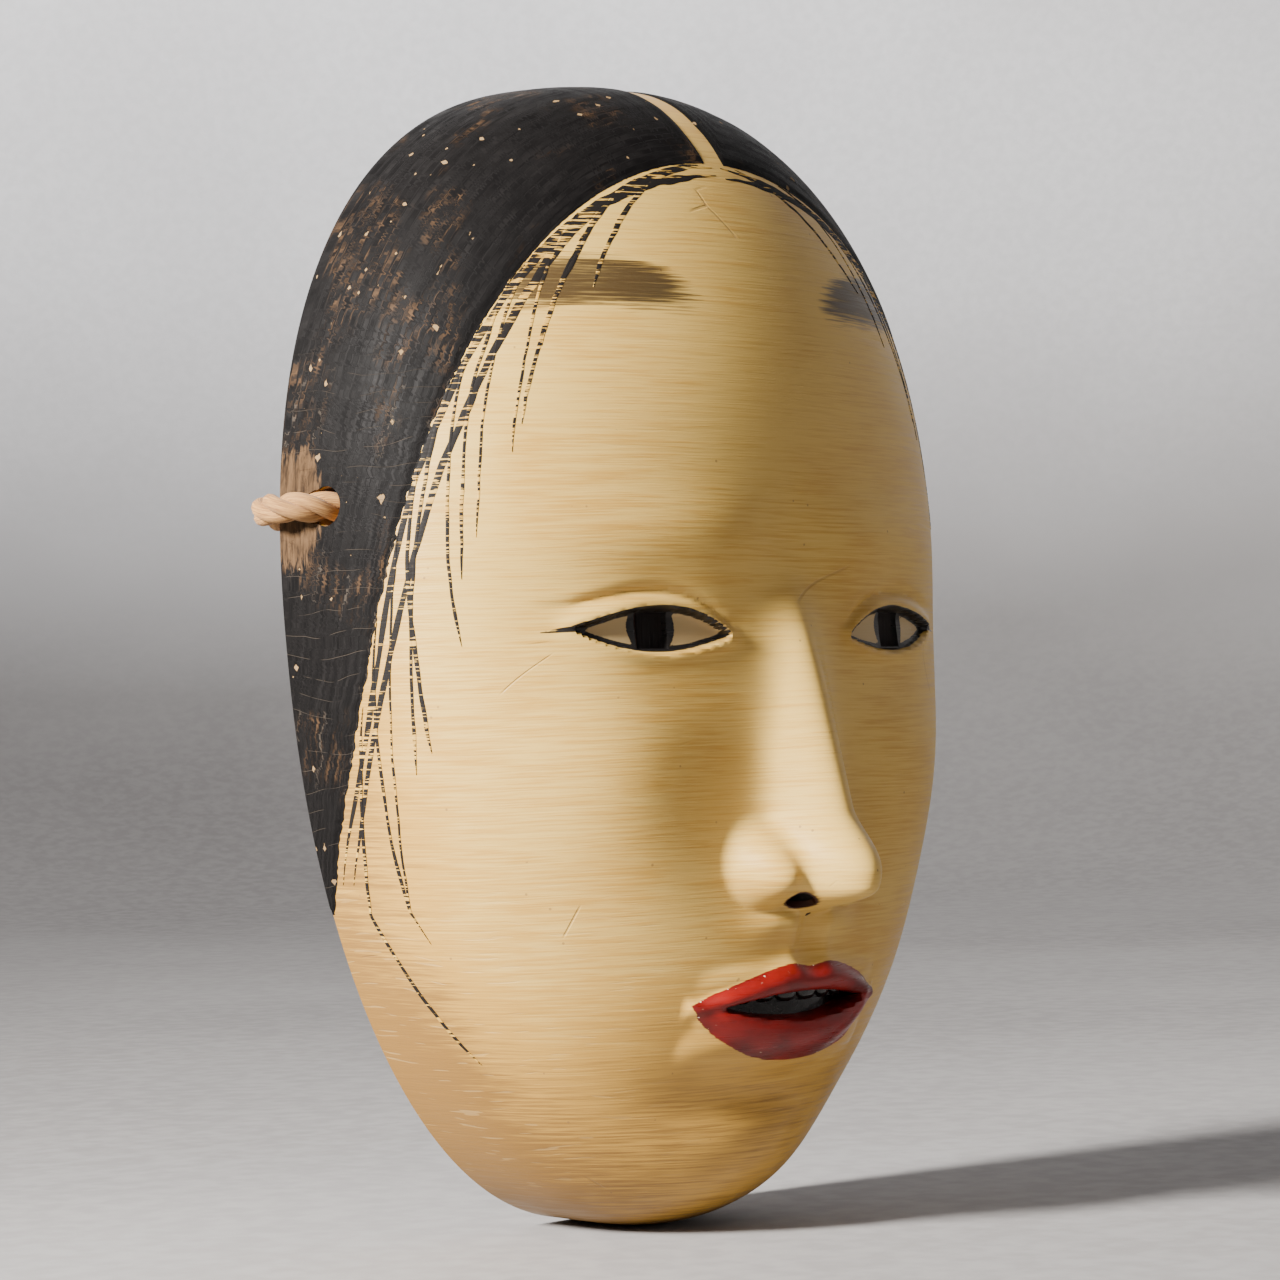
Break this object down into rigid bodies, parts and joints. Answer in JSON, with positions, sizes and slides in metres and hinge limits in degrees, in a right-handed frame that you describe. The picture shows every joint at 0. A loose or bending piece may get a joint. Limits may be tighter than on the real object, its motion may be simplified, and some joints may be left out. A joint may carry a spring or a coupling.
{
  "type": "noh mask",
  "caption": "Carved wooden noh mask with painted face and hair, blackened teeth, hollow lacquered back and a hanging cord through its side holes.",
  "frame": {"origin": "middle of the rim's back plane, half-way between crown and chin", "axes": "+Z towards the crown, the face looks along -Y, +X to the right of someone looking at the face"},
  "size_m": [0.1535, 0.0835, 0.2124],
  "materials": {
    "hinoki": "aged bare cypress",
    "gofun": "polished shell-white ground, toned ivory, satin",
    "lacquer": "dark red-brown urushi, satin",
    "tooth_black": "black lacquer, gloss",
    "hair_ink": "black ink in glue, semi-satin",
    "vermilion": "vermilion in glue, satin",
    "hemp": "twisted natural fibre"
  },
  "bodies": {
    "root": {"wood_core": "hinoki", "gofun_ground": "gofun", "inner_lacquer": "lacquer", "teeth_blacking": "tooth_black", "hair_paint_left": "hair_ink", "hair_paint_right": "hair_ink", "hanging_cord": "hemp", "left_stop_knot": "hemp", "right_stop_knot": "hemp"}
  },
  "joints": []
}
